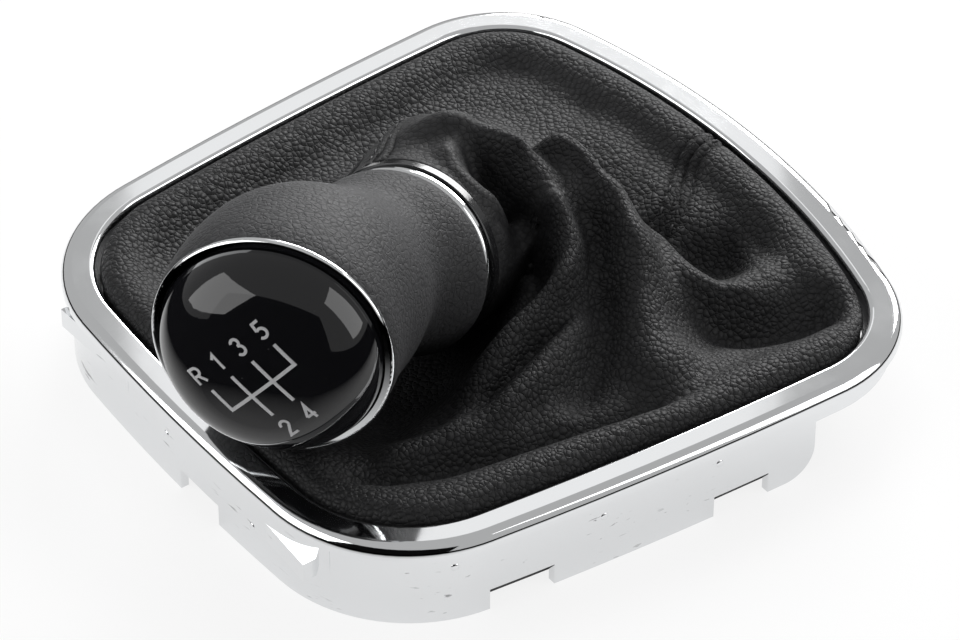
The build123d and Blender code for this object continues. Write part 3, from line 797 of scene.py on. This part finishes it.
def surface_normals(grid):
    """Outward normals of a closed band of strips, indexed by row and station."""
    around = np.roll(grid, -1, 1) - np.roll(grid, 1, 1)
    along = np.gradient(grid, axis=0)
    normal = np.cross(around, along)
    return normal / (np.linalg.norm(normal, axis=2)[..., None] + 1e-9)


def smoothstep(share):
    share = np.clip(share, 0, 1)
    return share * share * (3 - 2 * share)


def facing_up(grid):
    """How far each point of the leather faces up, from 0 to 1."""
    return np.clip((surface_normals(grid)[..., 2] - FOLD_SLOPE_START) / FOLD_SLOPE_SPAN, 0, 1)


def nearest_on(line, grid):
    """For each point of the leather, its nearest step of a line in plan, and the gap to it."""
    gap = ((grid[..., None, :2] - line[:, :2]) ** 2).sum(-1)
    return gap.argmin(-1), np.sqrt(gap.min(-1))


def line_fade(nearest, line, fade):
    """How firmly a line holds near each of its steps, less towards its two ends."""
    share = nearest / (len(line) - 1)
    return smoothstep(np.minimum(share, 1 - share) / fade)


def fold_leather(grid, folds):
    """Draws the leather up or down to each fold in turn, on the side of it that faces up."""
    facing = facing_up(grid)
    out = grid.copy()
    for points, width, firmness in folds:
        line = smooth_line(points, FOLD_STEPS)
        nearest, gap = nearest_on(line, out)
        hold = FOLD_END_SHARE + (1 - FOLD_END_SHARE) * line_fade(nearest, line, FOLD_FADE)
        pull = firmness * hold * facing * np.exp(-np.abs(gap / width) ** FOLD_POWER)
        out[..., 2] += (RIM_EDGE_Z + line[nearest, 2] - out[..., 2]) * pull
    return out


def press_crests(grid, crests):
    """Lifts the leather along its crests and presses it along its creases."""
    facing = facing_up(grid)
    change = np.zeros(grid.shape[:2])
    for points, width, lift in crests:
        line = smooth_line(points, FOLD_STEPS)
        nearest, gap = nearest_on(line, grid)
        hold = line_fade(nearest, line, CREST_FADE)
        change += lift * hold * facing * np.exp(-np.abs(gap / width) ** FOLD_POWER)
    return grid + UP * change[..., None]


def to_neighbours(grid, first, last):
    """The way from each point between two rows to the mean of its four neighbours."""
    around = (np.roll(grid, 1, 1) + np.roll(grid, -1, 1))[first:last] / 2
    along = (grid[first - 1:last - 1] + grid[first + 1:last + 1]) / 2
    return (around + along) / 2 - grid[first:last]


def ease_leather(grid, first, last):
    """Evens out the rows between two rows, so that the leather bends and doesn't crease."""
    for _ in range(EASE_PASSES):
        grid[first:last] += to_neighbours(grid, first, last) * EASE
    return grid


def soften_sharp(grid, first, last):
    """Evens out only the points far from their neighbours, so that no fold is a knife edge."""
    for _ in range(SHARP_PASSES):
        pull = to_neighbours(grid, first, last)
        size = np.linalg.norm(pull, axis=2)[..., None]
        grid[first:last] += pull * np.clip((size - SHARP_FROM) / SHARP_FROM, 0, SHARP_MOST)
    return grid


def smooth_spot(grid, spot, reach):
    """Smooths the leather round one spot, where folds meet."""
    for _ in range(SPOT_PASSES):
        weight = np.clip(1 - np.linalg.norm(grid[1:-1] - spot, axis=2) / reach, 0, 1)[..., None]
        pull = to_neighbours(grid, 1, len(grid) - 1)
        grid[1:-1] += pull * np.minimum(weight * SPOT_GAIN, SPOT_MOST)
    return grid


def path_shares(grid, first, last):
    """How far along its strip each point is, from 0 at one row to 1 at another."""
    step = np.linalg.norm(np.diff(grid, axis=0), axis=2)
    reach = np.vstack([np.zeros((1, grid.shape[1])), np.cumsum(step, axis=0)])
    return (reach - reach[first]) / (reach[last] - reach[first])


def lump_leather(grid, first, last):
    """Gives the slack leather between two rows its slight unevenness."""
    draw = np.random.default_rng(LUMP_SEED)
    lift = np.zeros(grid.shape[:2])
    for _ in range(LUMP_WAVES):
        way = draw.normal(size=3)
        way *= 2 * math.pi / draw.uniform(*LUMP_LENGTHS) / np.linalg.norm(way)
        lift += np.sin(grid @ way + draw.uniform(0, 2 * math.pi))
    lift *= LUMP_HEIGHT * math.sqrt(2 / LUMP_WAVES)
    rows = np.arange(len(grid))[:, None]
    fade = smoothstep((rows - first) / LUMP_START_ROWS) * smoothstep((last - rows) / LUMP_END_ROWS)
    return grid + surface_normals(grid) * (lift * fade)[..., None]


def seam_line(grid):
    """Points along the seam, lifted from its plan onto the highest leather there."""
    facing = grid[surface_normals(grid)[..., 2] > SEAM_FACING]
    line = []
    for p in smooth_line(SEAM, SEAM_POINT_STEPS):
        gap = np.hypot(*(facing[:, :2] - p).T)
        near = facing[gap < max(SEAM_CATCH, gap.min() * SEAM_CATCH_GAIN)]
        line.append(near[near[:, 2].argmax()])
    line = np.array(line)
    for _ in range(SEAM_PASSES):
        line[1:-1] = (line[:-2] + 2 * line[1:-1] + line[2:]) / 4
    reach = run_lengths(line)
    at = np.arange(0, reach[-1], SEAM_STEP)
    return np.c_[[np.interp(at, reach, line[:, k]) for k in range(3)]].T


def sew_seam(grid, line):
    """Presses the seam and its sewing into the leather, as (grid, how far each point lies in a groove of the
    seam or its stitch rows, for the painted shade there).
    """
    gap = np.array([np.sqrt(((row[:, None] - line[None]) ** 2).sum(-1).min(1)) for row in grid])
    seam = np.exp(-((gap / SEAM_WIDTH) ** 2))
    rows = np.exp(-(((gap - STITCH_REACH) / SEAM_WIDTH) ** 2))
    puff = np.exp(-(((gap - STITCH_REACH / 2) / SEAM_PUFF_WIDTH) ** 2))
    press = SEAM_PUFF * puff - SEAM_DEPTH * seam - STITCH_DEPTH * rows
    # The grooves' mask is given back for the painted shade that darkens the leather's colour there.
    return grid + surface_normals(grid) * press[..., None], np.clip(seam + rows, 0, 1)


def make_leather(props):
    """The gaiter's points by row and station, their shares of the knob's movement, and the seam.

    The last thing given back is how far each point lies in a groove of the seam, for the painted shade
    there.
    """
    edge, inward = frame_outline(props.stations, SEAM[0])
    control = leather_rows(edge, inward, props)
    lengths = np.linalg.norm(np.diff(control, axis=0), axis=2).mean(1)
    knots = np.r_[0, np.cumsum(lengths)]
    at = np.linspace(0, knots[-1], props.rows)
    grid = spline(knots, control, at)
    foot_row = int(np.searchsorted(at, knots[FOOT_KNOT]))
    sleeve_row = int(np.searchsorted(at, knots[SLEEVE_KNOT]))
    end_row = len(grid) - EASE_END_ROWS
    grid = fold_leather(grid, FOLDS + FINE_FOLDS)
    grid = ease_leather(grid, foot_row, end_row)
    grid = press_crests(grid, CRESTS)
    grid = soften_sharp(grid, foot_row, end_row)
    shares = smoothstep(path_shares(grid, foot_row, sleeve_row))
    grid = lump_leather(grid, foot_row - LUMP_LEAD_ROWS, end_row)
    for spot, reach in SMOOTH_SPOTS:
        grid = smooth_spot(grid, np.array(spot), reach)
    line = seam_line(grid)
    grid, sewn = sew_seam(grid, line)
    return grid, shares, line, sewn


def keep_values(piece, name, values):
    """Stores a number at each point of a piece, for its finish."""
    attribute = piece.data.attributes.new(name, "FLOAT", "POINT")
    attribute.data.foreach_set("value", values.astype(np.float32).ravel())


def keep_places(piece, points):
    """Stores where each point lies at rest, in metres, so that a finish stays on the leather."""
    attribute = piece.data.attributes.new("rest_place", "FLOAT_VECTOR", "POINT")
    attribute.data.foreach_set("vector", (np.asarray(points, float) * MM).ravel())


def blend_by_share(piece, shares):
    """Lets a piece follow the frame at share 0 and the knob at share 1, and turn in between."""
    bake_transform(piece, "frame", "knob", start=tuple(NECK * MM - STEM * 0.03), end=tuple(NECK * MM))
    weights = piece.data.attributes["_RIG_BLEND"]
    weights.data.foreach_set("value", np.asarray(shares, np.float32).ravel())


def turn_to(item, place, aim):
    """Puts a camera, lamp or card in its place and turns it to its aim."""
    item.location = place
    item.rotation_euler = (Vector(aim) - Vector(place)).to_track_quat("-Z", "Y").to_euler()


class GEARKNOB_OT_stage(bpy.types.Operator):
    """Sets the camera, the pale floor, the soft light and the white surround"""

    bl_idname = "gear_knob.stage"
    bl_label = "Stage"

    def execute(self, context):
        scene = context.scene
        props = scene.gear_knob_stage
        scene.view_settings.view_transform = "Standard"
        self.camera(scene, props)
        self.floor(props)
        self.surround(scene)
        for lamp in LAMPS:
            self.lamp(scene, *lamp)
        for card in CARDS:
            self.card(*card)
        return {"FINISHED"}

    @staticmethod
    def camera(scene, props):
        data = bpy.data.cameras.new("camera")
        data.lens = props.lens
        data.sensor_width = SENSOR_WIDTH
        data.clip_end = SIGHT
        camera = bpy.data.objects.new("camera", data)
        scene.collection.objects.link(camera)
        turn_to(camera, props.camera_place, props.camera_aim)
        scene.camera = camera

    @staticmethod
    def floor(props):
        """A pale floor that looks white, keeps the shadow, and ends in the dark in the gloss."""
        material, wire = new_finish("floor_pale")
        camera, gloss = ray_kinds(wire)
        away = wire.node("ShaderNodeVectorMath", {"operation": "DISTANCE"}, {
            0: place_of(wire), 1: props.glow_middle}, "Value")
        near = ((props.glow_reach - away) * (1 / props.glow_fade)).clamped()
        white = (camera + gloss * near).mix((0, 0, 0, 1), (1, 1, 1, 1))
        share = camera * FLOOR_WHITE + gloss * (1.0 - near * FLOOR_GLOSS_LOSS)
        matt = wire.node("ShaderNodeBsdfDiffuse", None, {"Color": opaque(props.floor)})
        glow = wire.node("ShaderNodeEmission", None, {"Color": white, "Strength": 1.0})
        both = wire.node("ShaderNodeMixShader", None, {0: share, 1: matt, 2: glow})
        wire.node("ShaderNodeOutputMaterial", None, {"Surface": both})
        flat_piece("floor", FLOOR_HALF, FLOOR_HALF, FLOOR_Z, material)

    @staticmethod
    def surround(scene):
        """A surround that looks white and gives the part little light."""
        world = bpy.data.worlds.new("surround")
        world.use_nodes = True
        world.node_tree.nodes.clear()
        scene.world = world
        wire = Wire(world.node_tree)
        camera, gloss = ray_kinds(wire)
        dim, white = (
            wire.node("ShaderNodeBackground", None, {"Color": (1, 1, 1, 1), "Strength": strength})
            for strength in (SURROUND_LIGHT, 1.0))
        share = (camera + gloss * SURROUND_IN_GLOSS).clamped()
        sky = wire.node("ShaderNodeMixShader", None, {0: share, 1: dim, 2: white})
        wire.node("ShaderNodeOutputWorld", None, {"Surface": sky})

    @staticmethod
    def lamp(scene, name, place, aim, size, power, in_gloss):
        """A soft box, which may be left out of the part's gloss."""
        data = bpy.data.lights.new(name, "AREA")
        data.shape = "RECTANGLE"
        data.size, data.size_y = size
        data.energy = power
        lamp = bpy.data.objects.new(name, data)
        turn_to(lamp, place, aim)
        lamp.visible_glossy = in_gloss
        scene.collection.objects.link(lamp)

    @staticmethod
    def card(name, place, size, colour):
        """A card that faces the part and is seen only in its gloss."""
        material, wire = new_finish(name)
        glow = wire.node("ShaderNodeEmission", None, {"Color": opaque(colour), "Strength": 1.0})
        wire.node("ShaderNodeOutputMaterial", None, {"Surface": glow})
        card = flat_piece(name, size[0] / MM / 2, size[1] / MM / 2, 0, material)
        turn_to(card, place, CARD_AIM)
        card.visible_camera = card.visible_diffuse = card.visible_shadow = False


class GEARKNOB_OT_chrome(bpy.types.Operator):
    """Plates the console frame and the knob's two rings, and adds the mould's marks on the skirt"""

    bl_idname = "gear_knob.chrome"
    bl_label = "Chrome"

    def execute(self, context):
        props = context.scene.gear_knob_chrome
        plated = chrome_finish("bezel_chrome", props, FRAME_SCUFFS)
        give_finish("bezel", plated)
        rings = chrome_finish("ring_chrome", props, RING_SCUFFS)
        give_finish("neck_ring", rings)
        give_finish("cap_ring", rings)
        for mark in (self.pips(plated), self.witness_lines(plated)):
            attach(mark, "frame")
        return {"FINISHED"}

    @staticmethod
    def on_skirt(x, y, z):
        """The skirt's outer face nearest to a point, as (place, way inwards, way along)."""
        edge, inward = frame_outline(SKIRT_STEPS)
        near = int(np.hypot(edge[:, 0] - x, edge[:, 1] - y).argmin())
        inwards = np.array([*inward[near], 0.0])
        return np.array([*edge[near], z]) + inwards * SKIRT_INSET, inwards, np.cross(UP, inwards)

    def pips(self, material):
        """Low domes that the mould's ejectors left."""
        points, faces = [], []
        for spot in PIPS:
            middle, inwards, across = self.on_skirt(*spot)
            base = len(points)
            for share in np.arange(PIP_RINGS) / PIP_RINGS:
                bulge = PIP_HEIGHT * (1 - (1 - share) ** 2) - MARK_SINK
                radius = PIP_R * (1 - share * share)
                points += ring_points(middle - inwards * bulge, across, UP, radius, PIP_SIDES)
            points.append(middle - inwards * (PIP_HEIGHT - MARK_SINK))
            faces += band_faces(PIP_RINGS, PIP_SIDES, base)
            top = len(points) - 1
            last = top - PIP_SIDES
            faces += [(last + i, last + (i + 1) % PIP_SIDES, top) for i in range(PIP_SIDES)]
        return new_piece("skirt_pips", points, faces, material)

    def witness_lines(self, material):
        """Thin upright ribs where the mould's halves met."""
        points, faces = [], []
        angles = np.linspace(0, math.pi, WITNESS_SIDES)
        for x, y, top, foot in WITNESS_LINES:
            base = len(points)
            for share in np.linspace(0, 1, WITNESS_STEPS):
                middle, inwards, across = self.on_skirt(x, y, top + (foot - top) * share)
                swell = math.sin(math.pi * min(max(share, WITNESS_TIP), 1 - WITNESS_TIP)) ** 0.5
                for angle in angles:
                    out = WITNESS_HEIGHT * swell * math.sin(angle) - MARK_SINK
                    points.append(middle + across * WITNESS_R * math.cos(angle) - inwards * out)
            for j in range(WITNESS_STEPS - 1):
                for i in range(WITNESS_SIDES - 1):
                    a = base + j * WITNESS_SIDES + i
                    faces.append((a, a + WITNESS_SIDES, a + WITNESS_SIDES + 1, a + 1))
        return new_piece("skirt_witness_lines", points, faces, material)


class GEARKNOB_OT_knob(bpy.types.Operator):
    """Finishes the grip, the cap, its print, the collar, and the pieces inside"""

    bl_idname = "gear_knob.knob"
    bl_label = "Knob"

    def execute(self, context):
        props = context.scene.gear_knob_knob
        give_finish("knob_grip", grip_finish(props))
        give_finish("cap", cap_finish(props))
        give_finish("shift_pattern", print_finish(props))
        for node, *looks in PLASTICS:
            give_finish(node, plastic_finish(*looks))
        give_finish("lever_clamp", steel_finish())
        return {"FINISHED"}


class GEARKNOB_OT_gaiter(bpy.types.Operator):
    """Makes the folded leather gaiter in place of its plain solid"""

    bl_idname = "gear_knob.gaiter"
    bl_label = "Gaiter"

    def execute(self, context):
        props = context.scene.gear_knob_gaiter
        grid, shares, line, sewn = make_leather(props)
        normals = surface_normals(grid)
        points = (grid + normals * (LEATHER / 2)).reshape(-1, 3)
        faces = band_faces(*grid.shape[:2])
        leather = new_piece("gaiter_leather", points, faces, leather_finish(props))
        keep_places(leather, points)
        # Keeps the painted shade of the seam's grooves for the leather's finish.
        keep_values(leather, "sewn", sewn)
        keep_values(leather, "taut", smoothstep((shares - TAUT_FROM) / (1 - TAUT_FROM)))
        blend_by_share(leather, shares)
        thick = leather.modifiers.new("thickness", "SOLIDIFY")
        thick.thickness = LEATHER * MM
        thick.offset = -1
        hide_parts("gaiter")
        SEWING.update(skin=points, normals=normals.reshape(-1, 3), shares=shares.ravel(), line=line)
        return {"FINISHED"}


class GEARKNOB_OT_stitches(bpy.types.Operator):
    """Sews two rows of thread along the seam, each stitch with both ends in the leather"""

    bl_idname = "gear_knob.stitches"
    bl_label = "Stitches"

    def execute(self, context):
        if not SEWING:
            raise RuntimeError("The gaiter has to be made before its stitches")
        props = context.scene.gear_knob_gaiter
        skin, normals, shares, line = (SEWING[key] for key in ("skin", "normals", "shares", "line"))
        points, faces, follow = [], [], []
        every = int(STITCH_PITCH / SEAM_STEP)
        for k in range(every, len(line) - every, every):
            run = line[k + 1] - line[k - 1]
            run /= np.linalg.norm(run)
            near = ((skin - line[k]) ** 2).sum(1).argmin()
            side = np.cross(run, normals[near])
            for reach in (-STITCH_REACH, STITCH_REACH):
                spot = line[k] + side * reach
                near = ((skin - spot) ** 2).sum(1).argmin()
                up = normals[near]
                middle = spot + up * ((skin[near] - spot) @ up)
                base = len(points)
                points += self.stitch(middle, run, up)
                faces += band_faces(len(STITCH_FORM), STITCH_SIDES, base)
                faces.append(tuple(reversed(range(base, base + STITCH_SIDES))))
                faces.append(tuple(range(len(points) - STITCH_SIDES, len(points))))
                follow += [shares[near]] * (len(points) - base)
        thread = new_piece("gaiter_stitches", points, faces, thread_finish(props))
        keep_places(thread, points)
        blend_by_share(thread, follow)
        return {"FINISHED"}

    @staticmethod
    def stitch(middle, run, up):
        """The rings of one stitch, which bends down into the leather at both ends."""
        across = np.cross(up, run)
        across /= np.linalg.norm(across)
        points = []
        for shift, girth, lift in STITCH_FORM:
            centre = middle + run * shift * STITCH_LENGTH / 2 + up * lift
            points += ring_points(centre, across, up, STITCH_R * girth, STITCH_SIDES)
        return points


class GEARKNOB_PT_panel(bpy.types.Panel):
    """Lists what the knob is dressed with"""

    bl_idname = "GEARKNOB_PT_panel"
    bl_label = "Gear Knob"
    bl_space_type = "VIEW_3D"
    bl_region_type = "UI"
    bl_category = "Gear Knob"

    def draw(self, context):
        for operator in OPERATORS:
            self.layout.operator(operator.bl_idname)
        for name in GROUPS:
            props = getattr(context.scene, name)
            for key in props.__annotations__:
                self.layout.prop(props, key)


GROUPS = {
    "gear_knob_stage": StageProps,
    "gear_knob_chrome": ChromeProps,
    "gear_knob_knob": KnobProps,
    "gear_knob_gaiter": GaiterProps,
}
OPERATORS = (
    GEARKNOB_OT_stage,
    GEARKNOB_OT_chrome,
    GEARKNOB_OT_knob,
    GEARKNOB_OT_gaiter,
    GEARKNOB_OT_stitches,
)


def register():
    for cls in (*GROUPS.values(), *OPERATORS, GEARKNOB_PT_panel):
        bpy.utils.register_class(cls)
    for name, cls in GROUPS.items():
        setattr(bpy.types.Scene, name, PointerProperty(type=cls))


def unregister():
    for name in GROUPS:
        delattr(bpy.types.Scene, name)
    for cls in reversed((*GROUPS.values(), *OPERATORS, GEARKNOB_PT_panel)):
        bpy.utils.unregister_class(cls)


def main():
    """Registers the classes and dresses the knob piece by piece."""
    register()
    bpy.ops.gear_knob.stage()
    bpy.ops.gear_knob.chrome()
    bpy.ops.gear_knob.knob()
    bpy.ops.gear_knob.gaiter()
    bpy.ops.gear_knob.stitches()


if __name__ == "__main__":
    main()
